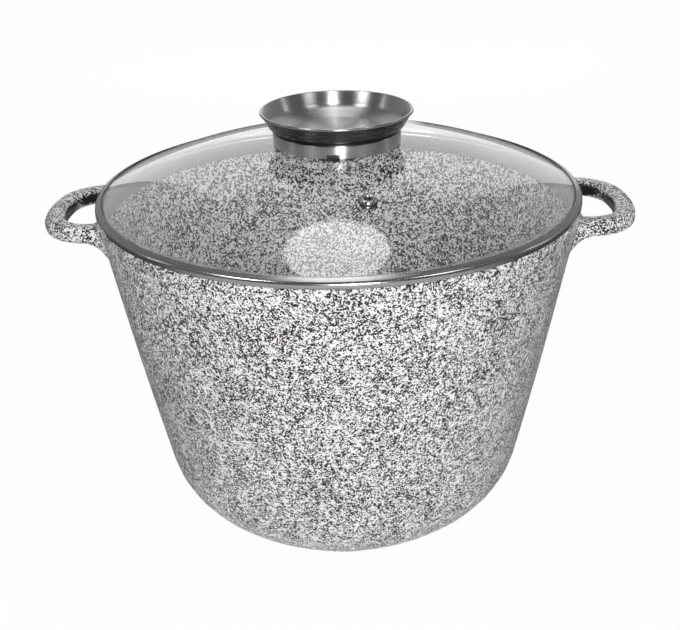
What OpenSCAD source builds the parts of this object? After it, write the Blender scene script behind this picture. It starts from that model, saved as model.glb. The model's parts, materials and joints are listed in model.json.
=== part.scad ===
// Cast stockpot with a domed glass lid and a turning pouring knob.
// Millimetres, +Z up. The origin is the middle of the underside, where the base plate meets the ground.
// The two handles lie along X and the steam vent is towards -Y, the front.

/* [Pot] */
// Height of the rim above the ground
pot_h = 210; // [160:1:260]
// Outer radius of the wall at the rim
rim_r = 146; // [125:1:165]
// Lean of the upper wall from upright, in degrees
wall_lean = 9.3; // [5:0.1:12]
// How much more the lower wall leans, past a soft bow half-way up
wall_bow = 1.5; // [0.5:0.1:2.5]
// Thickness of the cast wall
wall_t = 3.6; // [2.8:0.1:5]
// Thickness of the floor
floor_t = 6; // [4.5:0.1:9]
// Outer rounding between wall and floor
corner_round = 50.5; // [30:0.5:58]
// Rounding of the two edges of the rim
rim_round = 1.2; // [0.5:0.1:1.3]
// Outer radius of the foot ring
foot_r = 84; // [76:1:92]
// Height of the upright side of the foot ring
foot_side = 1.5; // [1:0.1:2.5]
// Height of the body's underside above the ground
foot_lift = 1.5; // [1:0.1:2.5]
// Width of the sloping ledge on the foot ring
foot_ledge = 4; // [2:0.5:6]

/* [Handles] */
// Width of each handle loop, measured across the arms
handle_w = 84; // [74:1:100]
// Reach of a handle beyond the rim
handle_reach = 33.5; // [28:0.5:42]
// Drop from the rim to the top of a handle
handle_drop = 6.7; // [4.5:0.1:15]
// Width of the handle bar seen from above
bar_w = 12; // [10:0.5:15]
// Height of the handle bar
bar_h = 10; // [8:0.5:14]
// Rounding of the bar's four long edges
bar_round = 3.6; // [2:0.1:3.9]
// Centre-line radius of the two bends
bend_r = 24; // [18:0.5:28]
// Centre-line radius of the gently bowed end
end_r = 90; // [70:5:200]
// Fillet under each arm where it grows out of the wall
root_under = 11; // [6:0.5:14]
// Fillet above each arm
root_over = 3.5; // [2:0.5:4]
// Fillet on both sides of each arm
root_side = 6; // [3:0.5:8]

/* [Base plate] */
// Distance from the foot's edge in to the plate
plate_inset = 6; // [4:0.5:12]
// Thickness of the plate
plate_t = 1; // [0.8:0.1:1.5]
// Radius of the holes in the plate
plate_hole_r = 3; // [2:0.1:3.5]
// Distance between the rings of holes
plate_pitch = 12; // [10:0.5:14]
// Number of rings of holes
plate_rings = 5; // [3:1:5]

/* [Lid] */
// Radius of the glass dome's outer surface
dome_r = 356; // [320:1:450]
// Thickness of the glass
glass_t = 4; // [3:0.1:4.5]
// Height of the steel band from the rim to its crest
band_h = 5; // [4.6:0.1:8]
// Sheet thickness of the band
band_t = 0.6; // [0.4:0.1:0.8]
// Width of the band's lip over the glass
lip_w = 3.8; // [3.5:0.1:7]
// Depth of the skirt below the rim
skirt_drop = 12; // [8:0.5:20]
// Gap between the skirt and the pot's inner wall
skirt_gap = 1.3; // [0.8:0.1:3]
// Rounding of the band's crest
crest_round = 1.8; // [1.2:0.1:2.6]

/* [Vent] */
// Distance of the vent from the middle of the lid
vent_reach = 86.7; // [60:0.1:110]
// Bearing of the vent, where -90 is the front
vent_bearing = -78.3; // [-180:0.1:180]
// Radius of the opening through the vent
vent_bore_r = 2.1; // [1.2:0.1:2.6]
// Outer radius of the eyelet's flange
vent_flange_r = 4.9; // [4.5:0.1:7]
// Height of the eyelet above its washer
vent_height = 1.7; // [1.2:0.1:2.5]
// Sheet thickness of the eyelet
vent_t = 0.6; // [0.4:0.1:0.7]
// Thickness of the rubber washer under the eyelet
vent_washer_t = 0.5; // [0.4:0.1:1]

/* [Knob] */
// Outer radius of the steel collar
collar_r = 38.3; // [34:0.1:44]
// Height of the collar
collar_h = 7.4; // [6.5:0.1:10]
// Sheet thickness of the collar
collar_t = 0.6; // [0.4:0.1:1]
// Width of the notch in the collar's lower edge
notch_w = 7.6; // [4:0.1:12]
// Height of the notch
notch_h = 2.4; // [1.5:0.1:3.2]
// Bearing of the notch, where -90 is the front
notch_bearing = -92.2; // [-180:0.1:180]
// Radius of the bowl's rim
bowl_r = 45.7; // [44:0.1:52]
// Depth of the bowl from its rim to its floor
bowl_depth = 13; // [11:0.1:20]
// Radius of the bowl at its lower corner
bowl_foot_r = 40.2; // [39.6:0.1:41]
// Radius of the flat middle of the bowl's floor
bowl_flat_r = 28.6; // [20:0.1:31]
// Rise of the dished floor from the middle to the corner
bowl_dish = 4.2; // [3.6:0.1:4.4]
// Sheet thickness of the bowl
bowl_t = 0.8; // [0.5:0.1:1]
// Gap between the collar's top and the bowl's lower corner
bowl_gap = 2.2; // [2:0.1:2.6]
// Radius of the two drip holes, which stand over the valve ports
drip_r = 1.3; // [0.8:0.1:1.5]

/* [Valve] */
// Outer radius of the threaded stem
stem_r = 13; // [12.5:0.1:15]
// Wall of the stem
stem_wall = 2.4; // [1.8:0.1:2.6]
// Distance of the valve ports from the middle
port_reach = 7; // [6.8:0.1:7.2]
// Radius of each valve port
port_r = 2; // [1.5:0.1:2.1]
// Quarter turn from closed to open, in degrees
valve_turn = 90; // [60:5:90]
// Thickness of the valve seal
seal_t = 1; // [0.8:0.1:1.2]
// Radius of the hub pin that turns in the base
hub_r = 3.6; // [3.2:0.1:3.9]
// Thread radius of the centre screw
screw_r = 2; // [1.5:0.1:2.2]
// Running gap round the hub pin
hub_gap = 0.1; // [0.05:0.01:0.2]
// Thickness of the knob base's floor over the top of the dome
base_floor_t = 1; // [0.8:0.1:1.2]
// Depth of the valve's well below the top of the dome
well_depth = 1.5; // [1:0.1:3]
// Thickness of the well's floor
well_floor_t = 1.6; // [1.2:0.1:2.5]
// Distance of the stop pin from the middle
stop_reach = 22; // [18:0.5:26]
// Radius of the stop pin
stop_r = 1.2; // [0.8:0.1:1.6]
// Thickness of the rubber ring between knob and glass
gasket_t = 0.8; // [0.5:0.1:0.9]
// Thickness of the rubber washer under the glass
nut_gasket_t = 1.5; // [1:0.1:2.5]
// Thickness of the steel washer over the nut
washer_t = 1; // [0.8:0.1:1.5]
// Height of the stem nut
nut_h = 5; // [4:0.1:8]
// Half the distance across the nut's flats
nut_half = 16; // [15.8:0.1:20]

/* [Hidden] */

// Clearance between seated pieces, and a wider one between pieces that turn past each other
seat = 0.1;
swing = 0.35;
// Facets of round sections, and steps along one rounded corner
fine = 96;
steps = 8;

// Pot
lean_run = tan(wall_lean);
low_lean = wall_lean + wall_bow;
wall_across = wall_t / cos(wall_lean);
floor_z = foot_lift + floor_t;
inner_round = corner_round - wall_t;
bow_z = pot_h / 2;
bow_r = rim_r - (pot_h - bow_z) * lean_run;
bow_round = 0.8 * (bow_z - foot_lift - corner_round) / tan(wall_bow / 2);
function wall_at(z) = z > bow_z ? rim_r - (pot_h - z) * lean_run : bow_r - (bow_z - z) * tan(low_lean);
corner_r = wall_at(foot_lift);
corner_flat_r = corner_r - corner_round * tan(45 - low_lean / 2);
ledge_r = foot_r - foot_ledge;
ledge_z = foot_lift + corner_round - sqrt(pow(corner_round, 2) - pow(max(ledge_r - corner_flat_r, 0), 2));
plate_r = foot_r - plate_inset;

// Handles
bar_mid_z = pot_h - handle_drop - bar_h / 2;
arm_y = (handle_w - bar_w) / 2;
end_x = rim_r + handle_reach - bar_w / 2;
end_centre_x = end_x - end_r;
bend_y = arm_y - bend_r;
bend_x = end_centre_x + sqrt(pow(end_r - bend_r, 2) - pow(bend_y, 2));
end_half_angle = asin(bend_y / (end_r - bend_r));
arm_reach = bend_x - wall_x(arm_y, 0);

// Lid
crest_z = pot_h + band_h;
edge_gap = 0.8;
lip_r = rim_r - lip_w;
glass_edge_r = rim_r - band_t - edge_gap;
dome_z = crest_z - band_t - seat - sqrt(pow(dome_r, 2) - pow(lip_r, 2));
dome_top = dome_z + dome_r;
skirt_r = wall_at(pot_h - skirt_drop) - wall_across - skirt_gap;
flange_round = 1;
skirt_round = 1.6;
vent_hole_r = vent_bore_r + vent_t + 0.3;
vent_washer_in = vent_hole_r + 0.1;
eyelet_round = 0.9;
vent_tilt = asin(vent_reach / dome_r);

// Knob and valve
function glass_at(r) = dome_z + sqrt(pow(dome_r, 2) - pow(r, 2));
function glass_under(r) = dome_z + sqrt(pow(dome_r - glass_t, 2) - pow(r, 2));
collar_in_r = collar_r - collar_t;
collar_z = glass_at(collar_in_r) + seat;
collar_top = collar_z + collar_h;
collar_lip_w = 1.3;
collar_round = 1;
notch_round = 0.9;
base_r = collar_in_r - seat;
base_wall = 1.5;
base_edge = 0.5;
base_wall_top = collar_top - collar_t - seat;
base_floor_top = dome_top + gasket_t + seat + base_floor_t;
bore_r = stem_r - stem_wall;
well_top = dome_top - well_depth;
well_under = well_top - well_floor_t;
seal_r = bore_r - 0.4;
seal_top = well_top + seal_t;
hub_bore_r = screw_r + seat;
core_hub_r = bore_r - swing;
core_hub_z = seal_top + seat / 2;
core_plate_t = 1.1;
core_rim_r = base_r - base_wall - swing;
core_flat_r = bowl_flat_r + 0.3;
core_skirt_in = core_rim_r - 1.6;
core_skirt_z = base_floor_top + swing;
rib_t = 1.2;
rib_count = 6;
bowl_corner_z = collar_top + bowl_gap + bowl_t;
bowl_floor_z = bowl_corner_z - bowl_dish;
bowl_rim_z = bowl_floor_z + bowl_depth;
bowl_step_r = bowl_foot_r + 0.8;
bowl_step_z = bowl_corner_z + 2.1;
core_top = bowl_floor_z - bowl_t;
core_rim_z = core_top + bowl_dish * (core_rim_r - bowl_flat_r) / (bowl_foot_r - bowl_flat_r) - 0.3;
slot_depth = 0.9;
glass_hole_r = stem_r + 0.3;
nut_gasket_z = glass_under(nut_half) - seat - nut_gasket_t;
clamp_z = nut_gasket_z - washer_t;
nut_z = clamp_z - nut_h;
stem_end = nut_z - 1.5;
wave_t = 1.2;
wave_r = port_reach - port_r - 0.2;
wave_z = well_under - seat / 2 - wave_t;
lock_h = 3;
lock_flat = 3.5;
lock_z = wave_z - seat / 2 - lock_h;
screw_end = lock_z - 1;
screw_head_r = 3.8;
screw_head_h = 0.7;

// Path helpers: a path is a list of [r, z, rounding], and a sheet is a path thickened to its right
function unit(v) = v / norm(v);
function xy(p) = [p.x, p.y];
function corner(a, b, c, r) =
    let (u = unit(a - b), v = unit(c - b), half = acos(u * v) / 2, reach = r / tan(half),
        middle = b + unit(u + v) * r / sin(half), s = b + u * reach - middle, e = b + v * reach - middle,
        sweep = atan2(cross(s, e), s * e))
    [for (i = [0 : steps]) let (t = sweep * i / steps)
        middle + [s.x * cos(t) - s.y * sin(t), s.x * sin(t) + s.y * cos(t)]];
function rounded(path) = [for (i = [0 : len(path) - 1])
    each (path[i].z == 0) ? [xy(path[i])]
        : corner(xy(path[i - 1]), xy(path[i]), xy(path[(i + 1) % len(path)]), path[i].z)];
function right_of(v) = [v.y, -v.x];
function offset_point(pts, i, t) =
    let (n = len(pts) - 1, before = right_of(unit(pts[max(i, 1)] - pts[max(i, 1) - 1])),
        after = right_of(unit(pts[min(i, n - 1) + 1] - pts[min(i, n - 1)])), mean = unit(before + after))
    pts[i] + mean * t / (mean * after);
function sheet(pts, t) = concat(pts, [for (i = [len(pts) - 1 : -1 : 0]) offset_point(pts, i, t)]);

module turned(pts) {
    rotate_extrude($fn = fine) polygon(pts);
}

// The dome's outer circle as a section, grown by a distance
module dome_section(grow) {
    intersection() {
        translate([0, dome_z]) circle(r = dome_r + grow, $fn = 720);
        square([rim_r, dome_top + 50]);
    }
}

// Places its children on the glass at the vent, with +Z along the dome's normal
module at_vent() {
    translate([0, 0, dome_z]) rotate([0, vent_tilt, vent_bearing])
        translate([0, 0, dome_r]) children();
}

module ring_of_holes(reach, r, count, z, h, first = 0) {
    for (i = [0 : count - 1])
        rotate([0, 0, first + i * 360 / count]) translate([reach, 0, z]) cylinder(r = r, h = h, $fn = 32);
}

// Distance along X from the middle to the outer wall, at y and at a height over the bar's middle
function wall_x(y, rise) = sqrt(pow(wall_at(bar_mid_z + rise), 2) - pow(y, 2));
function fillet(d, r) = d >= r ? 0 : r - sqrt(pow(r, 2) - pow(r - max(d, 0), 2));

// One corner of the bar's section, as [across, up] for the quarter that starts at an angle
function bar_corner(half_w, up, start) = [for (i = [0 : 5]) let (t = start + i * 18)
    [sign(cos(start + 45)) * (half_w - bar_round) + bar_round * cos(t),
        up - sign(sin(start + 45)) * bar_round + bar_round * sin(t)]];
// The bar's section at a distance from the wall: it flares into its root fillets
function bar_section(d) =
    let (half_w = bar_w / 2 + fillet(d, root_side), top = bar_h / 2 + fillet(d, root_over),
        low = -bar_h / 2 - fillet(d, root_under))
    concat(bar_corner(half_w, top, 0), bar_corner(half_w, top, 90), bar_corner(half_w, low, 180),
        bar_corner(half_w, low, 270));
// A section of the straight arm, which follows the curved wall close to it and is flat farther out
function arm_ring(d, side) = [for (p = bar_section(d))
    let (y = side * (arm_y + p.x), far = min(max(d / arm_reach, 0), 1))
    [wall_x(y, p.y) * (1 - far) + wall_x(arm_y, 0) * far + d, y, bar_mid_z + p.y]];
// A section of a bend or of the bowed end, turned about a centre
function arc_ring(cx, cy, r, a) = [for (p = bar_section(root_under + root_side))
    [cx + (r + p.x) * cos(a), cy + (r + p.x) * sin(a), bar_mid_z + p.y]];
arm_steps = [-wall_t / 2, 0.6, 1.4, 2.5, 4, 5.8, 8];
handle_rings = concat(
    [for (d = arm_steps) arm_ring(d, 1)],
    [for (i = [0 : 10]) arc_ring(bend_x, bend_y, bend_r, 90 - i * (90 - end_half_angle) / 10)],
    [for (i = [1 : 7]) arc_ring(end_centre_x, 0, end_r, end_half_angle * (1 - i / 4))],
    [for (i = [10 : -1 : 0]) arc_ring(bend_x, -bend_y, bend_r, -90 + i * (90 - end_half_angle) / 10)],
    [for (i = [len(arm_steps) - 1 : -1 : 0]) arm_ring(arm_steps[i], -1)]);

// The handle is a loft through its rings, closed at both ends inside the wall
module handle() {
    m = len(handle_rings[0]);
    n = len(handle_rings);
    centre = function (ring) [for (k = [0 : 2]) [for (p = ring) p[k]] * [for (p = ring) 1 / m]];
    points = concat([for (ring = handle_rings) each ring],
        [centre(handle_rings[0]), centre(handle_rings[n - 1])]);
    sides = [for (i = [0 : n - 2]) for (j = [0 : m - 1]) let (k = (j + 1) % m, a = i * m, b = a + m)
        each [[a + j, b + k, a + k], [a + j, b + j, b + k]]];
    caps = [for (j = [0 : m - 1]) let (k = (j + 1) % m, b = (n - 1) * m)
        each [[n * m, j, k], [n * m + 1, b + k, b + j]]];
    polyhedron(points, concat(sides, caps), convexity = 6);
}

module pot() {
    color([0.42, 0.42, 0.43]) union() {
        difference() {
            union() {
                turned(rounded([[0, foot_lift, 0], [corner_r, foot_lift, corner_round],
                    [bow_r, bow_z, bow_round], [rim_r, pot_h, rim_round],
                    [rim_r - wall_across, pot_h, rim_round], [bow_r - wall_across, bow_z, bow_round],
                    [wall_at(floor_z) - wall_across, floor_z, inner_round], [0, floor_z, 0]]));
                turned([[0, 0], [foot_r, 0], [foot_r, foot_side], [ledge_r, ledge_z], [0, ledge_z]]);
            }
            translate([0, 0, -1]) cylinder(r = plate_r + seat, h = plate_t + 1, $fn = fine);
        }
        handle();
        mirror([1, 0, 0]) handle();
    }
}

module base_plate() {
    color([0.72, 0.72, 0.73]) difference() {
        cylinder(r = plate_r, h = plate_t, $fn = fine);
        for (k = [1 : plate_rings])
            ring_of_holes(k * plate_pitch, plate_hole_r, 6 * k, -1, plate_t + 2);
    }
}

module lid_glass() {
    color([0.8, 0.85, 0.86, 0.35]) difference() {
        rotate_extrude($fn = fine) difference() {
            intersection() {
                dome_section(0);
                translate([0, pot_h + band_t + seat]) square([glass_edge_r, band_h + dome_top]);
            }
            dome_section(-glass_t);
        }
        translate([0, 0, dome_top - 3 * glass_t]) cylinder(r = glass_hole_r, h = 6 * glass_t, $fn = 64);
        at_vent() cylinder(r = vent_hole_r, h = 4 * glass_t, center = true, $fn = 48);
    }
}

module lid_band() {
    color([0.75, 0.75, 0.76]) turned(sheet(rounded([
        [lip_r, crest_z, 0], [rim_r, crest_z, crest_round], [rim_r, pot_h, flange_round],
        [skirt_r, pot_h, skirt_round], [skirt_r, pot_h - skirt_drop, 0]]), band_t));
}

module vent_eyelet() {
    flange_z = vent_washer_t + seat;
    crown_z = flange_z + vent_height;
    curl_z = -glass_t - seat - vent_t;
    color([0.8, 0.8, 0.81]) at_vent() turned(sheet(rounded([
        [vent_flange_r, flange_z, 0], [vent_flange_r, flange_z + 0.5, 0.7],
        [vent_flange_r - 0.8, crown_z, eyelet_round], [vent_bore_r, crown_z, eyelet_round],
        [vent_bore_r, curl_z, eyelet_round], [vent_flange_r - 0.6, curl_z, 0]]), -vent_t));
}

module vent_washer() {
    color([0.12, 0.12, 0.12]) at_vent() rotate_extrude($fn = 64)
        translate([vent_washer_in, seat / 2]) square([vent_flange_r + 0.5 - vent_washer_in, vent_washer_t]);
}

module knob_gasket() {
    color([0.14, 0.14, 0.14]) rotate_extrude($fn = fine) intersection() {
        difference() {
            dome_section(gasket_t + seat / 2);
            dome_section(seat / 2);
        }
        translate([stem_r + 4, 0]) square([base_r - stem_r - 5, dome_top + 20]);
    }
}

// The fixed base: a cup over the gasket, a well for the valve, and the stem through the glass
module knob_base() {
    color([0.1, 0.1, 0.1]) difference() {
        union() {
            rotate_extrude($fn = fine) difference() {
                polygon([[bore_r + 0.5, dome_top - 1], [base_r, collar_z + seat],
                    [base_r, base_wall_top - base_edge], [base_r - base_edge, base_wall_top],
                    [base_r - base_wall, base_wall_top], [base_r - base_wall, base_floor_top],
                    [bore_r + 0.5, base_floor_top]]);
                dome_section(gasket_t + seat);
            }
            turned([[0, well_under], [bore_r, well_under], [bore_r, stem_end], [stem_r, stem_end],
                [stem_r, base_floor_top], [bore_r, base_floor_top], [bore_r, well_top], [0, well_top]]);
        }
        translate([0, 0, well_under - 1]) cylinder(r = hub_r + hub_gap, h = well_floor_t + 2, $fn = 48);
        ring_of_holes(port_reach, port_r, 2, well_under - 1, well_floor_t + 2, valve_turn);
        stop_slot();
    }
}

// The curved slot that the stop pin runs in, with round ends
module stop_slot() {
    wide = stop_r + swing;
    translate([0, 0, base_floor_top - slot_depth]) {
        rotate_extrude(angle = valve_turn, $fn = fine)
            translate([stop_reach - wide, 0]) square([2 * wide, slot_depth + 1]);
        for (a = [0, valve_turn])
            rotate([0, 0, a]) translate([stop_reach, 0, 0]) cylinder(r = wide, h = slot_depth + 1, $fn = 32);
    }
}

module knob_collar() {
    color([0.78, 0.78, 0.79]) difference() {
        turned(sheet(rounded([[collar_r - collar_lip_w - collar_t, collar_top, 0],
            [collar_r, collar_top, collar_round], [collar_r, collar_z, 0]]), collar_t));
        rotate([0, 0, notch_bearing]) translate([collar_r, 0, collar_z]) notch_cutter();
    }
}

// A slot with two round upper corners, open at the collar's lower edge
module notch_cutter() {
    rotate([90, 0, 90]) linear_extrude(4 * collar_t, center = true) union() {
        translate([-notch_w / 2, -1]) square([notch_w, notch_h + 1 - notch_round]);
        translate([notch_round - notch_w / 2, -1]) square([notch_w - 2 * notch_round, notch_h + 1]);
        for (s = [-1, 1])
            translate([s * (notch_w / 2 - notch_round), notch_h - notch_round])
                circle(r = notch_round, $fn = 24);
    }
}

module valve_seal() {
    color([0.6, 0.6, 0.6]) translate([0, 0, well_top]) difference() {
        cylinder(r = seal_r, h = seal_t, $fn = 64);
        translate([0, 0, -1]) cylinder(r = hub_r + hub_gap + 0.2, h = seal_t + 2, $fn = 48);
        ring_of_holes(port_reach, port_r, 2, -1, seal_t + 2, valve_turn);
    }
}

// The turning carrier under the bowl: a dished plate with a skirt, ribs, a ported hub and a stop pin
module knob_core() {
    pin_z = base_floor_top - slot_depth + seat;
    buried_z = core_top - 0.3;
    rib_from = core_flat_r - 2;
    color([0.1, 0.1, 0.1]) difference() {
        union() {
            turned([[0, core_hub_z], [core_hub_r, core_hub_z], [core_hub_r, core_top - core_plate_t],
                [core_flat_r, core_top - core_plate_t], [core_skirt_in, core_rim_z - core_plate_t - 0.4],
                [core_skirt_in, core_skirt_z], [core_rim_r, core_skirt_z], [core_rim_r, core_rim_z],
                [core_flat_r, core_top], [0, core_top]]);
            translate([0, 0, well_under]) cylinder(r = hub_r, h = buried_z - well_under, $fn = 48);
            for (i = [0 : rib_count - 1])
                rotate([0, 0, (i + 0.5) * 360 / rib_count])
                    translate([rib_from, -rib_t / 2, core_skirt_z])
                    cube([core_skirt_in + 0.5 - rib_from, rib_t, buried_z - core_skirt_z]);
            translate([stop_reach, 0, pin_z]) cylinder(r = stop_r, h = buried_z - pin_z, $fn = 32);
        }
        translate([0, 0, well_under - 1]) cylinder(r = hub_bore_r, h = 20, $fn = 48);
        ring_of_holes(port_reach, port_r, 2, core_hub_z - 1, 20);
    }
}

// The pouring bowl: a dished floor, a round belly and a flared lip
module knob_bowl() {
    color([0.8, 0.8, 0.81]) difference() {
        turned(sheet(rounded([[0, bowl_floor_z, 0], [bowl_flat_r, bowl_floor_z, 3],
            [bowl_foot_r, bowl_corner_z, 4.5], [bowl_step_r, bowl_step_z, 2],
            [bowl_r - bowl_t, bowl_rim_z, 0]]), bowl_t));
        translate([0, 0, bowl_floor_z - 5]) cylinder(r = hub_bore_r, h = 10, $fn = 48);
        ring_of_holes(port_reach, drip_r, 2, bowl_floor_z - 5, 10);
    }
}

module centre_screw() {
    head_top = bowl_floor_z + screw_head_h;
    color([0.7, 0.7, 0.71]) turned([[0, screw_end], [screw_r, screw_end], [screw_r, bowl_floor_z],
        [screw_head_r, bowl_floor_z], [screw_head_r, head_top - screw_head_h / 2],
        [screw_head_r - 0.9, head_top], [0, head_top]]);
}

// The wave washer under the well's floor, pressed flat by the lock nut
module wave_washer() {
    color([0.55, 0.55, 0.56]) translate([0, 0, wave_z]) rotate_extrude($fn = 48)
        translate([hub_bore_r + 0.3, 0]) square([wave_r - hub_bore_r - 0.3, wave_t]);
}

module lock_nut() {
    color([0.7, 0.7, 0.71]) difference() {
        translate([0, 0, lock_z]) cylinder(r = lock_flat / cos(30), h = lock_h, $fn = 6);
        translate([0, 0, lock_z - 1]) cylinder(r = screw_r + seat / 2, h = lock_h + 2, $fn = 48);
    }
}

module nut_gasket() {
    inner = glass_hole_r + 0.2;
    color([0.14, 0.14, 0.14]) turned([[inner, nut_gasket_z], [nut_half, nut_gasket_z],
        [nut_half, glass_under(nut_half) - seat], [inner, glass_under(inner) - seat]]);
}

module clamp_washer() {
    color([0.7, 0.7, 0.71]) translate([0, 0, clamp_z]) difference() {
        cylinder(r = nut_half, h = washer_t, $fn = fine);
        translate([0, 0, -1]) cylinder(r = stem_r + seat, h = washer_t + 2, $fn = 64);
    }
}

module stem_nut() {
    color([0.13, 0.13, 0.13]) translate([0, 0, nut_z]) difference() {
        cylinder(r = nut_half / cos(30), h = nut_h, $fn = 6);
        translate([0, 0, -1]) cylinder(r = stem_r + seat, h = nut_h + 2, $fn = 64);
    }
}

pot();
base_plate();
lid_glass();
lid_band();
vent_eyelet();
vent_washer();
knob_gasket();
knob_base();
knob_collar();
valve_seal();
knob_core();
knob_bowl();
centre_screw();
wave_washer();
lock_nut();
nut_gasket();
clamp_washer();
stem_nut();
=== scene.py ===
# The looks of a cast, stone-coated stockpot with a domed glass lid and a turning steel knob.
# Metres, +Z up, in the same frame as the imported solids.
import json
import math

import bpy
from mathutils import Matrix, Vector

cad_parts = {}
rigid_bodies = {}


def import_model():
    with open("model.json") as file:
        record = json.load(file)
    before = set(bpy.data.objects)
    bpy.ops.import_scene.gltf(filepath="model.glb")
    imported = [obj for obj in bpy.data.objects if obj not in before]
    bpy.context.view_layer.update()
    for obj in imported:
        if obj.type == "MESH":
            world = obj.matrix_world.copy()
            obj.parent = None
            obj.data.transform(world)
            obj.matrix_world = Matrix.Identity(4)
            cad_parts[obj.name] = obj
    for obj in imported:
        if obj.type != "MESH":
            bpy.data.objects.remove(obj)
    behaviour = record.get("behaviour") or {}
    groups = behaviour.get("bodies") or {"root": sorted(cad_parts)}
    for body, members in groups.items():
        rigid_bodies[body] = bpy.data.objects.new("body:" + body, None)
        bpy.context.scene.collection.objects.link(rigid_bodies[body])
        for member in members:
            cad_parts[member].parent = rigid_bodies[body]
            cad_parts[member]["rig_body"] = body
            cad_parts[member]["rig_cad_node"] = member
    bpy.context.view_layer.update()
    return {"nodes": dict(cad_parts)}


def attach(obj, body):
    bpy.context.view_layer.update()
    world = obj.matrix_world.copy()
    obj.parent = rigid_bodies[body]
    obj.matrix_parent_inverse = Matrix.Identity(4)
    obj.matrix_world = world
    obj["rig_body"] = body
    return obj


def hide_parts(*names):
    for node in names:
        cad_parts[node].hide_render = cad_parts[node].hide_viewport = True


MM = 0.001

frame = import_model()
nodes = frame["nodes"]

# Camera, worked out from the circles of the rim, the knob and the foot
PHOTO_WIDTH_PX = 680
FOCAL_PX = 997.96
SENSOR_WIDTH = 36
CAMERA_AT = Vector((-0.8, -583.3, 411.7)) * MM
CAMERA_PITCH = math.radians(26.17)
CAMERA_ROLL = math.radians(1.39)
CAMERA_SWING = math.radians(1.5)

# Sizes of pieces are in mm and angles in degrees. Their bearings run from +X towards +Y.

# Glass dome
DOME_R = 356
GLASS_T = 4
DOME_RINGS = 36
STEM_HOLE_R = 13.3
VENT_HOLE_R = 3
VENT_REACH = 86.7
VENT_BEARING = -78.3
GROUND_EDGE_W = 0.6
GROUND_EDGE_DROP = 0.4
GROUND_EDGE_BEND = 0.5

# Lid band
BAND_T = 0.6
LIP_W = 3.8
LIP_DROP = 1.5
LIP_GAP = 0.1
CREST_BEND = 2
FLANGE_BEND = 1
SKIRT_BEND = 1.6
SKIRT_R = 139.08
JOINT_W = 0.3
JOINT_DEPTH = 0.3
JOINT_TOP = 2
JOINT_FOOT = 1
JOINT_BEARING = -118.5
# Faces over the rim that reach this far inside the lip's radius are its sheared edge, painted dark as the
# shade of the gap over the glass
SHADED_EDGE_MARGIN = 0.05

# Pouring bowl
BOWL_T = 0.8
BOWL_FLOOR_R = 28.6
BOWL_FLOOR_BEND = 3
BELLY_R = 40.2
BELLY_RISE = 4.2
BELLY_BEND = 4.5
LIP_FOOT_R = 41
LIP_FOOT_RISE = 6.3
LIP_FOOT_BEND = 2
BEAD_R = 0.85
BEAD_STEP = 15
BEAD_TURN = 240
# How far in from the rim the bead is polished, in its own radii
BEAD_POLISH = 1.7
SCREW_HOLE_R = 2.1
DRIP_HOLE_R = 1.3
DRIP_HOLE_REACH = 7

# Collar
COLLAR_T = 0.6
COLLAR_LIP_W = 1.9
COLLAR_BEND = 1
NOTCH_W = 7.6
NOTCH_H = 2.4
NOTCH_BEND = 0.9
NOTCH_BEARING = -92.2

# Screw
SHANK_R = 2
TIP_BEVEL = 0.4
HEAD_T = 0.7
HEAD_BEVEL_W = 0.9
HEAD_BEVEL_H = 0.35
RECESS_L = 4
RECESS_W = 0.8
RECESS_DEPTH = 0.5
RECESS_BEARING = 20

# How far a cutter reaches past the sheet that it cuts, and how long the drills are
CUT_PAST = 1
NOTCH_CUT_PAST = 2
VENT_DRILL_L = 20
FLOOR_DRILL_L = 6

# The handles' loops: the middle of the right one, and where the loops start and are fully open
LOOP_MIDDLE = Vector((158, 0, 198.3)) * MM
LOOP_START = 143 * MM
LOOP_OPEN = 150 * MM
# The largest radius inside the pot that still takes the coarser spray
COOKING_R = 140.5 * MM
# The least cosine between a face's normal and a way that the face counts as facing
FACING = 0.2


# Helpers for materials

def linear(hex_colour):
    """The linear colour of an sRGB hex value, with alpha 1."""
    channels = [int(hex_colour[i:i + 2], 16) / 255 for i in (0, 2, 4)]
    return [c / 12.92 if c <= 0.04045 else ((c + 0.055) / 1.055) ** 2.4 for c in channels] + [1]


WHITE = linear("FFFFFF")


def add(tree, kind, settings=None, links=None):
    """Adds a shader node. Settings are its properties or its sockets' values. Links feed its sockets, each
    from another socket or from a node's first output."""
    node = tree.nodes.new("ShaderNode" + kind)
    for name, value in (settings or {}).items():
        if hasattr(node, str(name)):
            setattr(node, name, value)
        else:
            node.inputs[name].default_value = value
    for name, source in (links or {}).items():
        if hasattr(source, "outputs"):
            source = source.outputs[0]
        tree.links.new(source, node.inputs[name])
    return node


def new_material(name):
    """An empty material and its node tree."""
    material = bpy.data.materials.new(name)
    material.use_nodes = True
    material.node_tree.nodes.clear()
    return material, material.node_tree


# Materials

def inside_of_loops(tree, place, normal):
    """1 on the faces that look into a handle's loop, where shade falls and the spray hardly reaches, and 0
    elsewhere.
    """
    across = add(tree, "SeparateXYZ", links={0: place})
    side = add(tree, "Math", {"operation": "SIGN"}, {0: across.outputs["X"]})
    reach = add(tree, "Math", {"operation": "MULTIPLY", 1: LOOP_MIDDLE.x}, {0: side})
    middle = add(tree, "CombineXYZ", {"Z": LOOP_MIDDLE.z}, {"X": reach})
    inward = add(tree, "VectorMath", {"operation": "SUBTRACT"}, {0: middle, 1: place})
    inward = add(tree, "VectorMath", {"operation": "NORMALIZE"}, {0: inward})
    facing = add(tree, "VectorMath", {"operation": "DOT_PRODUCT"}, {0: inward, 1: normal})
    facing = add(tree, "MapRange", {"From Min": 0.45, "From Max": 0.8}, {"Value": facing.outputs["Value"]})
    beyond = add(tree, "Math", {"operation": "ABSOLUTE"}, {0: across.outputs["X"]})
    beyond = add(tree, "MapRange", {"From Min": LOOP_START, "From Max": LOOP_OPEN}, {"Value": beyond})
    return add(tree, "Math", {"operation": "MULTIPLY"}, {0: facing, 1: beyond})


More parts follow.
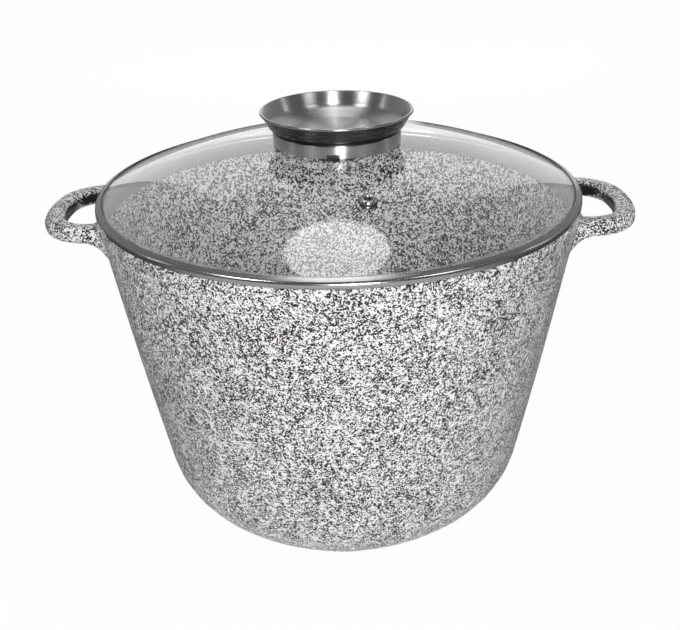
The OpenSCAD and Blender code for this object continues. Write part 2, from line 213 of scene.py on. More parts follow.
def inside_of_pot(tree, place, normal):
    """1 on the floor and the wall inside the pot, and 0 on its outside, rim and handles."""
    flat = add(tree, "VectorMath", {"operation": "MULTIPLY", 1: (1, 1, 0)}, {0: place})
    radius = add(tree, "VectorMath", {"operation": "LENGTH"}, {0: flat})
    inward = add(tree, "VectorMath", {"operation": "NORMALIZE"}, {0: flat})
    inward = add(tree, "VectorMath", {"operation": "SUBTRACT", 0: (0, 0, 1)}, {1: inward})
    facing = add(tree, "VectorMath", {"operation": "DOT_PRODUCT"}, {0: inward, 1: normal})
    facing = add(tree, "Math", {"operation": "GREATER_THAN", 1: FACING}, {0: facing.outputs["Value"]})
    within = add(tree, "Math", {"operation": "LESS_THAN", 1: COOKING_R}, {0: radius.outputs["Value"]})
    return add(tree, "Math", {"operation": "MULTIPLY"}, {0: facing, 1: within})


def stone_coating():
    """Stone-look non-stick, sprayed on and baked: a dense mosaic of black to pale grit under larger white
    chips, with the slightly wavy semi-gloss of a sprayed coat."""
    outside_grit = 0.66 * MM
    inside_grit = 0.95 * MM
    wander_size = 0.7 * MM
    wander_reach = 0.5 * MM
    chip_size = 3.2 * MM
    drift_size = 25 * MM
    wave_size = 2.5 * MM
    wave_height = 0.06 * MM
    material, tree = new_material("stone_speckle_nonstick")
    normal = add(tree, "NewGeometry").outputs["Normal"]
    place = add(tree, "TexCoord").outputs["Object"]
    # Grains with frayed outlines, each with its own shade. Real grit is down to 0.3 mm and is drawn coarser,
    # so that it shows. The cooking surface is sprayed coarser than the outside.
    wander = add(tree, "TexNoise", {"Scale": 1 / wander_size, "Detail": 1}, {"Vector": place})
    wander = add(tree, "VectorMath", {"operation": "SCALE", "Scale": wander_reach},
                 {0: wander.outputs["Color"]})
    shaken = add(tree, "VectorMath", {"operation": "ADD"}, {0: place, 1: wander})
    fineness = add(tree, "MapRange", {"To Min": 1 / outside_grit, "To Max": 1 / inside_grit},
                   {"Value": inside_of_pot(tree, place, normal)})
    grit = add(tree, "TexVoronoi", links={"Vector": shaken, "Scale": fineness})
    shade = add(tree, "SeparateColor", links={0: grit.outputs["Color"]})
    # White chips of 2 to 4 mm
    chips = add(tree, "TexNoise", {"Scale": 1 / chip_size, "Detail": 3, "Roughness": 0.65,
                                   "Distortion": 0.8}, {"Vector": place})
    # The spray lies a little paler and darker in patches. Hardly any reaches the loops, and there the
    # coating is painted darker as painted shade
    drift = add(tree, "TexNoise", {"Scale": 1 / drift_size, "Detail": 2}, {"Vector": place})
    lift = add(tree, "MapRange", {"From Min": 0.3, "From Max": 0.7, "To Min": -0.08, "To Max": 0.08},
               {"Value": drift.outputs["Fac"]})
    loop_shade_and_thin_spray = inside_of_loops(tree, place, normal)
    amount = add(tree, "Math", {"operation": "ADD"}, {0: shade, 1: lift})
    # Inside the loops the tone is pushed towards black: painted shade
    amount = add(tree, "Math", {"operation": "MULTIPLY_ADD", 1: -0.5}, {0: loop_shade_and_thin_spray, 2: amount})
    tone = add(tree, "ValToRGB", links={0: amount})
    dark, pale = tone.color_ramp.elements
    dark.position = 0.54
    dark.color = linear("101011")
    pale.position = 0.62
    pale.color = linear("E9E9E7")
    edge = add(tree, "MapRange", {"From Min": 0.56, "From Max": 0.6}, {"Value": chips.outputs["Fac"]})
    # Inside the loops the thin spray leaves no white chips
    edge = add(tree, "Math", {"operation": "SUBTRACT", "use_clamp": True}, {0: edge, 1: loop_shade_and_thin_spray})
    colour = add(tree, "Mix", {"data_type": "RGBA", 7: linear("E8E8E6")}, {0: edge, 6: tone})
    rough = add(tree, "MapRange", {"To Min": 0.3, "To Max": 0.42}, {"Value": shade})
    waves = add(tree, "TexNoise", {"Scale": 1 / wave_size, "Detail": 1}, {"Vector": place})
    relief = add(tree, "Math", {"operation": "MULTIPLY_ADD", 1: 0.3}, {0: shade, 2: waves.outputs["Fac"]})
    bump = add(tree, "Bump", {"Strength": 0.3, "Distance": wave_height}, {"Height": relief})
    coat = add(tree, "BsdfPrincipled", {"IOR": 1.5},
               {"Base Color": colour.outputs[2], "Roughness": rough, "Normal": bump})
    add(tree, "OutputMaterial", links={"Surface": coat})
    return material


def turned_lines(tree, grain):
    """Fine rings round the Z axis, as a lathe or a polishing belt leaves them, from 0 to 1. They change far
    more slowly along a ring than across it."""
    slowness = 0.02
    place = add(tree, "TexCoord").outputs["Object"]
    along = add(tree, "SeparateXYZ", links={0: place})
    flat = add(tree, "VectorMath", {"operation": "MULTIPLY", 1: (1, 1, 0)}, {0: place})
    radius = add(tree, "VectorMath", {"operation": "LENGTH"}, {0: flat})
    slow = add(tree, "VectorMath", {"operation": "SCALE", "Scale": slowness}, {0: place})
    slow = add(tree, "SeparateXYZ", links={0: slow})
    rings = add(tree, "CombineXYZ", links={"X": radius.outputs["Value"], "Y": slow.outputs["Y"],
                                           "Z": along.outputs["Z"]})
    return add(tree, "TexNoise", {"Scale": 1 / (grain * MM), "Detail": 2, "Roughness": 0.6},
               {"Vector": rings}).outputs["Fac"]


def turned_steel(name, colour, grain, rough, spread, streak, relief):
    """Stainless steel finished in rings, whose grain draws each lamp out into a streak across the rings. The
    rings are a few hundredths of a millimetre apart on the real one, and are drawn coarser, so that they
    show: the grain gives their width in mm."""
    ring_height = 0.01 * MM
    sheen = 0.12
    material, tree = new_material(name)
    lines = turned_lines(tree, grain)
    value = add(tree, "MapRange", {"From Min": 0.3, "From Max": 0.7, "To Min": rough - spread,
                                   "To Max": rough + spread}, {"Value": lines})
    share = add(tree, "MapRange", {"To Max": sheen}, {"Value": lines})
    tint = add(tree, "Mix", {"data_type": "RGBA", 6: linear(colour), 7: WHITE}, {0: share})
    bump = add(tree, "Bump", {"Strength": relief, "Distance": ring_height}, {"Height": lines})
    tangent = add(tree, "Tangent", {"direction_type": "RADIAL", "axis": "Z"})
    steel = add(tree, "BsdfPrincipled", {"Metallic": 1, "Anisotropic": streak, "Anisotropic Rotation": 0.25},
                {"Base Color": tint.outputs[2], "Roughness": value, "Normal": bump, "Tangent": tangent})
    add(tree, "OutputMaterial", links={"Surface": steel})
    return material


def tempered_glass():
    """Soda-lime float glass, bent into a dome and tempered: clear and without texture, with sharp
    reflections. Lamps shine through it on what is under it."""
    material, tree = new_material("tempered_soda_lime_glass")
    glass = add(tree, "BsdfPrincipled", {"Base Color": linear("FAFBFB"), "Roughness": 0, "IOR": 1.52,
                                         "Transmission Weight": 1})
    clear = add(tree, "BsdfTransparent", {"Color": linear("CDCECE")})
    ray = add(tree, "LightPath")
    mixed = add(tree, "MixShader", links={0: ray.outputs["Is Shadow Ray"], 1: glass, 2: clear})
    add(tree, "OutputMaterial", links={"Surface": mixed})
    return material


def moulded(name, colour, rough, grain):
    """A moulded plastic or rubber with the fine, even grain of its mould, whose width is given in mm."""
    spread = 0.06
    grain_height = 0.03 * MM
    material, tree = new_material(name)
    place = add(tree, "TexCoord").outputs["Object"]
    pits = add(tree, "TexNoise", {"Scale": 1 / (grain * MM), "Detail": 2}, {"Vector": place}).outputs["Fac"]
    value = add(tree, "MapRange", {"To Min": rough - spread, "To Max": rough + spread}, {"Value": pits})
    bump = add(tree, "Bump", {"Strength": 0.25, "Distance": grain_height}, {"Height": pits})
    body = add(tree, "BsdfPrincipled", {"Base Color": linear(colour)}, {"Roughness": value, "Normal": bump})
    add(tree, "OutputMaterial", links={"Surface": body})
    return material


COATING = stone_coating()
GLASS = tempered_glass()
# Rolled strip and pressed sheet, polished on a belt: bright, with soft edges to what it mirrors
POLISHED = turned_steel("polished_stainless_steel", "B2B2B3", grain=0.25, rough=0.24, spread=0.05,
                        streak=0.5, relief=0.3)
# Spun sheet, brushed in rings: satin, with long streaks of light
BRUSHED = turned_steel("brushed_stainless_steel", "BCBCBD", grain=0.22, rough=0.32, spread=0.05,
                       streak=0.97, relief=0.4)
# The outside of the bowl, buffed: painted nearly black as painted shade for the dark that it mirrors, with
# narrow streaks
BOWL_OUTSIDE_PAINTED_SHADE = turned_steel("bowl_outside_steel_painted_shade", "4C4C4E", grain=0.22, rough=0.26, spread=0.03,
                          streak=0.9, relief=0.1)
# The sheared edge of the band's strip: rough, and painted dark as the shade of the gap between the lip and
# the glass
LIP_EDGE_PAINTED_SHADE = turned_steel("lip_edge_steel_painted_shade", "3E3E40", grain=0.22, rough=0.5, spread=0.05,
                            streak=0.2, relief=0.4)
# Stamped and ground sheet of the base plate and the hidden hardware: dull, with short streaks
PLATE = turned_steel("bonded_steel_plate", "B4B4B5", grain=0.3, rough=0.34, spread=0.05, streak=0.6,
                     relief=0.3)
# Compression-moulded phenolic: black, with a dull satin skin
PHENOLIC = moulded("black_phenolic_plastic", "1B1B1C", rough=0.45, grain=0.35)
# Moulded silicone: black or grey, matt and soft to the eye
BLACK_SILICONE = moulded("black_silicone_rubber", "1A1A1A", rough=0.6, grain=0.5)
GREY_SILICONE = moulded("grey_silicone_rubber", "A9A9A7", rough=0.6, grain=0.5)

NODE_FINISH = {
    "pot": COATING, "base_plate": PLATE, "lid_glass": GLASS, "lid_band": POLISHED,
    "vent_eyelet": POLISHED, "vent_washer": BLACK_SILICONE, "knob_gasket": BLACK_SILICONE,
    "knob_base": PHENOLIC, "knob_collar": BRUSHED, "valve_seal": GREY_SILICONE, "knob_core": PHENOLIC,
    "knob_bowl": BRUSHED, "centre_screw": BRUSHED, "wave_washer": PLATE, "lock_nut": PLATE,
    "nut_gasket": BLACK_SILICONE, "clamp_washer": PLATE, "stem_nut": PHENOLIC,
}
for name, material in NODE_FINISH.items():
    for slot in nodes[name].material_slots:
        slot.material = material


# Helpers for pieces

# Points closer than this are one point
WELD = 0.002 * MM
# Edges that turn by more than this many degrees stay sharp: on the casting and the band, on small pieces
# and on the glass
SOFT_ANGLE = 32
CRISP_ANGLE = 28
GLASS_ANGLE = 25
# Facets round a drilled hole, the drill's turn in radians and the steps of a rounded edge
HOLE_FACETS = 48
DRILL_TWIST = 0.05
BEVEL_STEPS = 6


def deselect():
    """Selects nothing."""
    for thing in bpy.context.selected_objects:
        thing.select_set(False)


def choose(thing):
    """Selects one object alone and makes it the active one."""
    deselect()
    thing.select_set(True)
    bpy.context.view_layer.objects.active = thing


def extent(node):
    """The largest radius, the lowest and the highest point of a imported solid, in mm."""
    corners = [nodes[node].matrix_world @ Vector(corner) / MM for corner in nodes[node].bound_box]
    heights = [corner.z for corner in corners]
    return max(corner.x for corner in corners), min(heights), max(heights)


def smooth(piece, angle):
    """Shades a piece smooth, apart from edges that turn by more than an angle in degrees."""
    choose(piece)
    bpy.ops.object.shade_smooth_by_angle(angle=math.radians(angle))


def smooth_copy(node, name, angle):
    """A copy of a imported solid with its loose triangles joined, shaded smooth up to an angle."""
    piece = nodes[node].copy()
    piece.data = nodes[node].data.copy()
    piece.name = name
    piece.parent = None
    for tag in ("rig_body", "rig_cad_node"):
        if tag in piece:
            del piece[tag]
    bpy.context.scene.collection.objects.link(piece)
    choose(piece)
    bpy.ops.object.mode_set(mode="EDIT")
    bpy.ops.mesh.select_all(action="SELECT")
    bpy.ops.mesh.customdata_custom_splitnormals_clear()
    bpy.ops.mesh.remove_doubles(threshold=WELD)
    bpy.ops.object.mode_set(mode="OBJECT")
    smooth(piece, angle)
    return piece


def rounded(corners, steps=8):
    """The points of a path of (radius, height, rounding) corners, in mm, with each rounding as an arc."""
    points = []
    for i, (radius, height, bend) in enumerate(corners):
        here = Vector((radius, height))
        if not bend:
            points.append(here)
            continue
        back = (Vector(corners[i - 1][:2]) - here).normalized()
        onward = (Vector(corners[i + 1][:2]) - here).normalized()
        half = back.angle(onward) / 2
        middle = here + (back + onward).normalized() * bend / math.sin(half)
        first = here + back * bend / math.tan(half) - middle
        last = here + onward * bend / math.tan(half) - middle
        sweep = math.atan2(first.cross(last), first.dot(last))
        points += [middle + Matrix.Rotation(sweep * k / steps, 2) @ first for k in range(steps + 1)]
    return points


def sheet(path, thickness):
    """The closed outline of a sheet that follows a path, with its thickness to the path's right."""
    ways = [(there - here).normalized() for here, there in zip(path, path[1:])]
    normals = [Vector((way.y, -way.x)) for way in ways]
    far = []
    for i, point in enumerate(path):
        before = normals[max(i - 1, 0)]
        after = normals[min(i, len(normals) - 1)]
        mean = (before + after).normalized()
        far.append(point + mean * thickness / mean.dot(after))
    return path + far[::-1]


def turned(name, outline, material, closed=True, steps=256):
    """A turned piece: its outline is drawn by extruding one point in the XZ plane and is spun round Z. An
    outline that isn't closed starts and ends on the axis."""
    deselect()
    bpy.ops.mesh.primitive_plane_add(size=MM)
    piece = bpy.context.object
    piece.name = name
    bpy.ops.object.mode_set(mode="EDIT")
    bpy.ops.mesh.select_mode(type="VERT")
    bpy.ops.mesh.merge(type="CENTER")
    bpy.ops.transform.translate(value=(outline[0].x * MM, 0, outline[0].y * MM))
    route = outline + outline[:1] if closed else outline
    for here, there in zip(route, route[1:]):
        step = (there - here) * MM
        bpy.ops.mesh.extrude_region_move(TRANSFORM_OT_translate={"value": (step.x, 0, step.y)})
    bpy.ops.mesh.select_all(action="SELECT")
    bpy.ops.mesh.remove_doubles(threshold=WELD)
    bpy.ops.mesh.spin(steps=steps, angle=math.tau, center=(0, 0, 0), axis=(0, 0, 1))
    bpy.ops.mesh.select_all(action="SELECT")
    bpy.ops.mesh.remove_doubles(threshold=WELD)
    bpy.ops.mesh.normals_make_consistent(inside=False)
    bpy.ops.object.mode_set(mode="OBJECT")
    piece.data.materials.append(material)
    return piece


def cut(piece, cutter):
    """Takes one mesh out of another and drops the cutter."""
    choose(piece)
    tool = piece.modifiers.new("cut", "BOOLEAN")
    tool.operation = "DIFFERENCE"
    tool.solver = "EXACT"
    tool.object = cutter
    bpy.ops.object.modifier_apply(modifier=tool.name)
    bpy.data.objects.remove(cutter)


def drill(piece, radius, place, length, tilt=(0, 0, DRILL_TWIST)):
    """Cuts a round hole through a piece. The drill is turned a little, so that its facets and those of the
    piece don't fall in line."""
    deselect()
    bpy.ops.mesh.primitive_cylinder_add(vertices=HOLE_FACETS, radius=radius * MM, depth=length * MM,
                                        location=Vector(place) * MM, rotation=tilt)
    cut(piece, bpy.context.object)


def turn(piece, bearing):
    """Turns a piece about the Z axis through the origin, and keeps the turn in its mesh."""
    choose(piece)
    bpy.ops.object.mode_set(mode="EDIT")
    bpy.ops.mesh.select_all(action="SELECT")
    bpy.ops.transform.rotate(value=math.radians(-bearing), orient_axis="Z", center_override=(0, 0, 0))
    bpy.ops.object.mode_set(mode="OBJECT")


def block(low, high, bearing=0):
    """A box between two corners, turned about the Z axis to a bearing."""
    deselect()
    bpy.ops.mesh.primitive_cube_add(size=MM, location=(0, 0, 0))
    piece = bpy.context.object
    bpy.ops.object.mode_set(mode="EDIT")
    bpy.ops.transform.resize(value=Vector(high) - Vector(low))
    bpy.ops.transform.translate(value=(Vector(low) + Vector(high)) / 2 * MM)
    bpy.ops.object.mode_set(mode="OBJECT")
    if bearing:
        turn(piece, bearing)
    return piece


def bevel_edges(piece, wanted, radius):
    """Rounds the edges whose two ends pass a test."""
    mesh = piece.data
    choose(piece)
    bpy.ops.object.mode_set(mode="EDIT")
    bpy.ops.mesh.select_all(action="DESELECT")
    bpy.ops.mesh.select_mode(type="EDGE")
    bpy.ops.object.mode_set(mode="OBJECT")
    for edge in mesh.edges:
        edge.select = wanted(*(mesh.vertices[i].co for i in edge.vertices))
    bpy.ops.object.mode_set(mode="EDIT")
    bpy.ops.mesh.bevel(offset=radius * MM, segments=BEVEL_STEPS)
    bpy.ops.object.mode_set(mode="OBJECT")


def seat(piece, body, slot, *replaced):
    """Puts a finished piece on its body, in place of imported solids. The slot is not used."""
    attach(piece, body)
    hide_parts(*replaced)


# Pieces

RIM_R, BAND_LOW, CREST_Z = extent("lid_band")
RIM_Z = extent("pot")[2]
LIP_R = RIM_R - LIP_W
DOME_Z = CREST_Z - BAND_T - LIP_GAP - math.sqrt(DOME_R ** 2 - LIP_R ** 2)


def dome_point(radius, depth=0):
    """A point on the dome, or on a dome that lies deeper by a distance."""
    return Vector((radius, DOME_Z + math.sqrt((DOME_R - depth) ** 2 - radius ** 2)))


def glass_dome():
    """The dome: a cap of a sphere with a ground edge, and the holes for the knob's stem and the vent."""
    edge_r, edge_z = extent("lid_glass")[:2]
    edge_top = edge_r - GROUND_EDGE_W
    under_r = math.sqrt((DOME_R - GLASS_T) ** 2 - (edge_z - DOME_Z) ** 2)
    rings = range(DOME_RINGS + 1)
    top = [dome_point(STEM_HOLE_R + (edge_top - STEM_HOLE_R) * i / DOME_RINGS) for i in rings]
    ground = rounded([(edge_top, top[-1].y, 0), (edge_r, top[-1].y - GROUND_EDGE_DROP, GROUND_EDGE_BEND),
                      (edge_r, edge_z, GROUND_EDGE_BEND), (under_r, edge_z, 0)], steps=4)[1:-1]
    under = [dome_point(under_r + (STEM_HOLE_R - under_r) * i / DOME_RINGS, GLASS_T) for i in rings]
    piece = turned("lid_glass_dome", top + ground + under, GLASS)
    bearing = math.radians(VENT_BEARING)
    vent = (VENT_REACH * math.cos(bearing), VENT_REACH * math.sin(bearing), dome_point(VENT_REACH).y)
    drill(piece, VENT_HOLE_R, vent, VENT_DRILL_L, tilt=(0, math.asin(VENT_REACH / DOME_R), bearing))
    smooth(piece, GLASS_ANGLE)
    return piece


def lid_rim():
    """The band: a lip over the glass, a round crest, an outer face, a flange on the rim and a skirt."""
    path = rounded([(LIP_R, CREST_Z, 0), (RIM_R, CREST_Z - LIP_DROP, CREST_BEND),
                    (RIM_R, RIM_Z, FLANGE_BEND), (SKIRT_R, RIM_Z, SKIRT_BEND), (SKIRT_R, BAND_LOW, 0)])
    piece = turned("lid_band_rim", sheet(path, BAND_T), POLISHED)
    # The butt joint of the rolled strip
    cut(piece, block((RIM_R - JOINT_DEPTH, -JOINT_W / 2, RIM_Z + JOINT_FOOT),
                     (RIM_R + CUT_PAST, JOINT_W / 2, CREST_Z - JOINT_TOP), JOINT_BEARING))
    smooth(piece, SOFT_ANGLE)
    # The strip's sheared edge over the glass, painted dark as painted shade of the gap
    piece.data.materials.append(LIP_EDGE_PAINTED_SHADE)
    shaded_edge_r = (LIP_R - SHADED_EDGE_MARGIN) * MM
    for face in piece.data.polygons:
        if face.center.z > RIM_Z * MM and face.center.xy.length < shaded_edge_r:
            face.material_index = 1
    return piece


def pouring_bowl():
    """The bowl: a dished floor, a round belly, a flared lip rolled outwards into a bead, and its holes."""
    rim_r, low, rim_z = extent("knob_bowl")
    floor_z = low + BOWL_T
    bead = Vector((rim_r - BEAD_R, rim_z - BEAD_R))
    lip_foot = Vector((LIP_FOOT_R, floor_z + LIP_FOOT_RISE))
    rise = (bead - lip_foot).normalized()
    outward = Vector((rise.y, -rise.x))
    inner_end = bead - outward * BEAD_R
    path = rounded([(0, floor_z, 0), (BOWL_FLOOR_R, floor_z, BOWL_FLOOR_BEND),
                    (BELLY_R, floor_z + BELLY_RISE, BELLY_BEND), (*lip_foot, LIP_FOOT_BEND),
                    (*inner_end, 0)])
    wall = sheet(path, BOWL_T)
    turns = [-math.radians(angle) for angle in range(BEAD_STEP, BEAD_TURN + 1, BEAD_STEP)]
    roll = [bead + Matrix.Rotation(angle, 2) @ (-outward * BEAD_R) for angle in turns]
    outline = wall[:len(path)] + roll + wall[len(path) + 1:]
    piece = turned("knob_pouring_bowl", outline, BRUSHED, closed=False)
    drill(piece, SCREW_HOLE_R, (0, 0, floor_z), FLOOR_DRILL_L)
    for side in (-1, 1):
        drill(piece, DRIP_HOLE_R, (side * DRIP_HOLE_REACH, 0, floor_z), FLOOR_DRILL_L)
    smooth(piece, CRISP_ANGLE)
    # The outside is painted dark up to the bead as painted shade, and the bead is polished
    piece.data.materials.append(BOWL_OUTSIDE_PAINTED_SHADE)
    piece.data.materials.append(POLISHED)
    bead_low = (rim_z - 2 * BEAD_R) * MM
    bead_inside = (rim_r - BEAD_POLISH * BEAD_R) * MM
    for face in piece.data.polygons:
        out = Vector((face.center.x, face.center.y, 0))
        if face.normal.dot(out.normalized()) > FACING and face.center.z < bead_low:
            face.material_index = 1
        elif face.center.z > bead_low and out.length > bead_inside:
            face.material_index = 2
    return piece


def collar():
    """The collar: a lip, a rolled shoulder and a wall, with a round-cornered notch in its lower edge."""
    radius, low, top = extent("knob_collar")
    path = rounded([(radius - COLLAR_LIP_W, top, 0), (radius, top, COLLAR_BEND), (radius, low, 0)])
    piece = turned("knob_steel_collar", sheet(path, COLLAR_T), BRUSHED)
    notch = block((radius - NOTCH_CUT_PAST, -NOTCH_W / 2, low - NOTCH_CUT_PAST),
                  (radius + NOTCH_CUT_PAST, NOTCH_W / 2, low + NOTCH_H))
    bevel_edges(notch, lambda a, b: min(a.z, b.z) > low * MM and abs(a.y - b.y) < MM, NOTCH_BEND)
    turn(notch, NOTCH_BEARING)
    cut(piece, notch)
    smooth(piece, CRISP_ANGLE)
    return piece


def screw():
    """The screw that holds the bowl on its carrier, with a crossed recess in its chamfered head."""
    radius, low, top = extent("centre_screw")
    head_z = top - HEAD_T
    corners = ((0, low), (SHANK_R - TIP_BEVEL, low), (SHANK_R, low + TIP_BEVEL), (SHANK_R, head_z),
               (radius, head_z), (radius, top - HEAD_BEVEL_H), (radius - HEAD_BEVEL_W, top), (0, top))
    piece = turned("bowl_screw", [Vector(corner) for corner in corners], BRUSHED, closed=False, steps=96)
    for bearing in (RECESS_BEARING, RECESS_BEARING + 90):
        cut(piece, block((-RECESS_L / 2, -RECESS_W / 2, top - RECESS_DEPTH),
                         (RECESS_L / 2, RECESS_W / 2, top + CUT_PAST), bearing))
    smooth(piece, CRISP_ANGLE)
    return piece


seat(glass_dome(), "stockpot", "tempered_glass", "lid_glass")
seat(smooth_copy("pot", "pot_casting", SOFT_ANGLE), "stockpot", "coated_aluminium", "pot")
seat(lid_rim(), "stockpot", "polished_steel", "lid_band")
seat(smooth_copy("vent_eyelet", "vent_steel_eyelet", CRISP_ANGLE), "stockpot", "polished_steel",
     "vent_eyelet")
seat(smooth_copy("knob_base", "knob_moulded_base", CRISP_ANGLE), "stockpot", "black_plastic", "knob_base")
seat(collar(), "stockpot", "brushed_steel", "knob_collar")
seat(pouring_bowl(), "turning_knob", "brushed_steel", "knob_bowl")
seat(screw(), "turning_knob", "brushed_steel", "centre_screw")


# Floor, light and camera. Bearings here are from +Y towards +X, so the camera's side is at 180 degrees.

FLOOR_SIZE = 30
FLOOR_DROP = 0.05 * MM
# How white the camera sees the floor, and how bright metal and gloss see its parts
FLOOR_WHITE = 0.97
FLOOR_FRONT = 0.65
FLOOR_SIDES = 0.1
FLOOR_BEHIND = 0.75

# How bright metal and gloss see the room, where its backdrop ends, how far that blurs in radians, and the
# soft light on all else
BACKDROP = 1
BACKDROP_HALF = math.radians(24)
BACKDROP_TOP = math.radians(39)
BACKDROP_EDGE = 0.1
BACKDROP_EDGE_HALF = math.radians(0.6)
SIDE_BLUR = 0.004
TOP_BLUR = 0.02
ROOM_SIDES = 0.3
ROOM_FRONT = 0.1
ROOM_OVERHEAD = 0.55
SOFT_LIGHT = 0.13


def pale_floor():
    """A floor that the camera sees as white, with a soft shadow. Metal and gloss see it as pale in front of
    the pot and in a narrow strip behind it, and as dark elsewhere."""
    material, tree = new_material("white_studio_floor")
    lit = add(tree, "BsdfDiffuse", {"Color": linear("F2F2F2")})
    way = add(tree, "SeparateXYZ", links={0: add(tree, "TexCoord").outputs["Object"]})
    bearing = add(tree, "Math", {"operation": "ARCTAN2"}, {0: way.outputs["X"], 1: way.outputs["Y"]})
    bearing = add(tree, "Math", {"operation": "ABSOLUTE"}, {0: bearing})
    front = add(tree, "MapRange", {"From Min": math.radians(100), "From Max": math.radians(135),
                                   "To Min": FLOOR_SIDES, "To Max": FLOOR_FRONT}, {"Value": bearing})
    behind = add(tree, "MapRange", {"From Min": math.radians(4.5), "From Max": math.radians(6.5),
                                    "To Min": FLOOR_BEHIND, "To Max": 0}, {"Value": bearing})
    mirrored = add(tree, "Math", {"operation": "ADD"}, {0: front, 1: behind})
    ray = add(tree, "LightPath")
    clear = add(tree, "Math", {"operation": "MAXIMUM"}, {0: ray.outputs["Is Camera Ray"],
                                                         1: ray.outputs["Is Transmission Ray"]})
    strength = add(tree, "Mix", {"data_type": "FLOAT", 3: 1}, {0: clear, 2: mirrored})
    glow = add(tree, "Emission", {"Color": WHITE}, {"Strength": strength})
    share = add(tree, "Math", {"operation": "MULTIPLY", 1: FLOOR_WHITE}, {0: clear})
    share = add(tree, "Math", {"operation": "MAXIMUM"}, {0: share, 1: ray.outputs["Is Glossy Ray"]})
    mixed = add(tree, "MixShader", links={0: share, 1: lit, 2: glow})
    add(tree, "OutputMaterial", links={"Surface": mixed})
    return material


deselect()
bpy.ops.mesh.primitive_plane_add(size=FLOOR_SIZE, location=(0, 0, -FLOOR_DROP))
floor = bpy.context.object
floor.name = "studio_floor"
floor.data.materials.append(pale_floor())


def studio_world():
    """White to the camera and through glass. Metal and gloss see a grey room, darker overhead and in front,
    with a white backdrop behind the pot that ends in a thin dark edge on each side. All else gets an even
    soft light."""
    world = bpy.data.worlds.new("studio")
    world.use_nodes = True
    tree = world.node_tree
    tree.nodes.clear()
    way = add(tree, "SeparateXYZ", links={0: add(tree, "TexCoord").outputs["Generated"]})
    bearing = add(tree, "Math", {"operation": "ARCTAN2"}, {0: way.outputs["X"], 1: way.outputs["Y"]})
    bearing = add(tree, "Math", {"operation": "ABSOLUTE"}, {0: bearing})
    rise = add(tree, "Math", {"operation": "ARCSINE"}, {0: way.outputs["Z"]})
    side = add(tree, "MapRange", {"From Min": math.radians(60), "From Max": math.radians(125),
                                  "To Min": ROOM_SIDES, "To Max": ROOM_FRONT}, {"Value": bearing})
    ceiling = add(tree, "MapRange", {"From Min": math.radians(15), "From Max": math.radians(60),
                                     "To Min": 1, "To Max": ROOM_OVERHEAD}, {"Value": rise})
    room = add(tree, "Math", {"operation": "MULTIPLY"}, {0: side, 1: ceiling})
    inside = add(tree, "MapRange", {"From Min": BACKDROP_HALF - SIDE_BLUR,
                                    "From Max": BACKDROP_HALF + SIDE_BLUR,
                                    "To Min": 1, "To Max": 0}, {"Value": bearing})
    below = add(tree, "MapRange", {"From Min": BACKDROP_TOP - TOP_BLUR, "From Max": BACKDROP_TOP + TOP_BLUR,
                                   "To Min": 1, "To Max": 0}, {"Value": rise})
    panel = add(tree, "Math", {"operation": "MULTIPLY"}, {0: inside, 1: below})
    edge = add(tree, "Math", {"operation": "COMPARE", 1: BACKDROP_HALF, 2: BACKDROP_EDGE_HALF}, {0: bearing})
    edge = add(tree, "Math", {"operation": "MULTIPLY"}, {0: edge, 1: below})
    bright = add(tree, "Mix", {"data_type": "FLOAT", 3: BACKDROP}, {0: panel, 2: room})
    bright = add(tree, "Mix", {"data_type": "FLOAT", 3: BACKDROP_EDGE}, {0: edge, 2: bright})
    ray = add(tree, "LightPath")
    bright = add(tree, "Mix", {"data_type": "FLOAT", 2: SOFT_LIGHT}, {0: ray.outputs["Is Glossy Ray"],
                                                                      3: bright})
    clear = add(tree, "Math", {"operation": "MAXIMUM"}, {0: ray.outputs["Is Camera Ray"],
                                                         1: ray.outputs["Is Transmission Ray"]})
    bright = add(tree, "Mix", {"data_type": "FLOAT", 3: 1}, {0: clear, 2: bright})
    sky = add(tree, "Background", {"Color": WHITE}, {"Strength": bright})
    add(tree, "OutputWorld", links={"Surface": sky})
    return world


bpy.context.scene.world = studio_world()


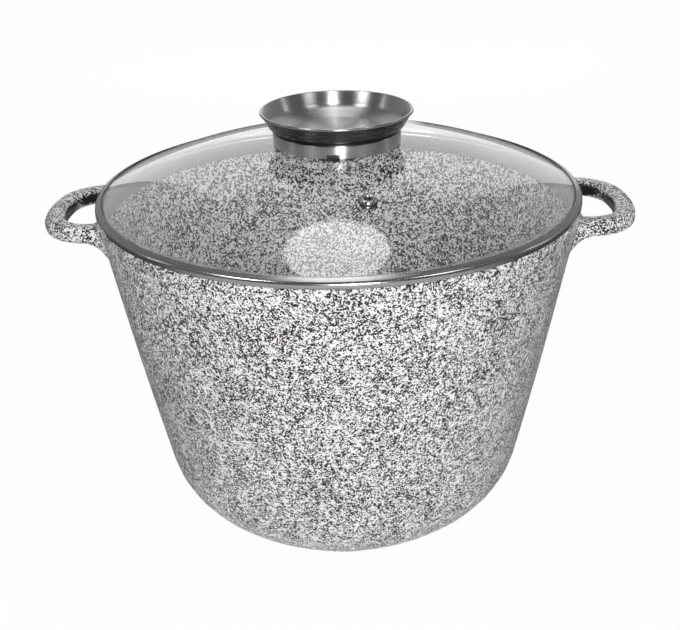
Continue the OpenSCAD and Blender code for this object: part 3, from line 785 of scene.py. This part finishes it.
def softbox(name, bearing, rise, distance, width, height, power, target=(0, 0, 0.15), shape="RECTANGLE"):
    """A lamp, placed round its target by its bearing and its rise above the horizon in degrees and its
    distance in metres. Its width and height are in metres and its power is in watts."""
    light = bpy.data.lights.new(name, "AREA")
    light.shape = shape
    light.size = width
    if shape == "RECTANGLE":
        light.size_y = height
    light.energy = power
    lamp = bpy.data.objects.new(name, light)
    bearing = math.radians(bearing)
    rise = math.radians(rise)
    flat = math.cos(rise)
    away = Vector((math.sin(bearing) * flat, math.cos(bearing) * flat, math.sin(rise)))
    lamp.location = Vector(target) + away * distance
    lamp.rotation_euler = (-away).to_track_quat("-Z", "Y").to_euler()
    bpy.context.scene.collection.objects.link(lamp)
    return lamp


softbox("overhead_round", -2.5, 62.8, 1.7, 0.58, 0.58, 2.6, target=(0, -0.12, 0.22), shape="DISK")
softbox("front_high_right", 120, 54, 1.7, 0.35, 0.5, 2.6)
softbox("front_high_left", -123, 54, 1.7, 0.35, 0.5, 5.6)
softbox("side_right", 80, 24, 1.6, 0.12, 0.6, 0.6)
softbox("side_left", -93, 24, 1.6, 0.12, 0.6, 0.6)
# Lights the back of the wall and the handles, and shows in no mirror and through no glass
rear_fill = softbox("rear_fill", 0, 12, 1.6, 1.2, 0.4, 8)
rear_fill.visible_glossy = False
rear_fill.visible_transmission = False
softbox("front_low", 173, 20, 1.3, 0.27, 0.3, 11.4)

camera_data = bpy.data.cameras.new("photo_camera")
camera_data.sensor_fit = "HORIZONTAL"
camera_data.sensor_width = SENSOR_WIDTH
camera_data.lens = FOCAL_PX * SENSOR_WIDTH / PHOTO_WIDTH_PX
camera = bpy.data.objects.new("photo_camera", camera_data)
bpy.context.scene.collection.objects.link(camera)
right = Vector((1, 0, 0))
ahead = Vector((0, math.cos(CAMERA_PITCH), -math.sin(CAMERA_PITCH)))
up = right.cross(ahead)
camera_x = right * math.cos(CAMERA_ROLL) - up * math.sin(CAMERA_ROLL)
camera_y = right * math.sin(CAMERA_ROLL) + up * math.cos(CAMERA_ROLL)
pose = Matrix((camera_x, camera_y, -ahead)).transposed().to_4x4()
camera.matrix_world = Matrix.Rotation(CAMERA_SWING, 4, "Z") @ Matrix.Translation(CAMERA_AT) @ pose
bpy.context.scene.camera = camera
bpy.context.scene.view_settings.view_transform = "Standard"
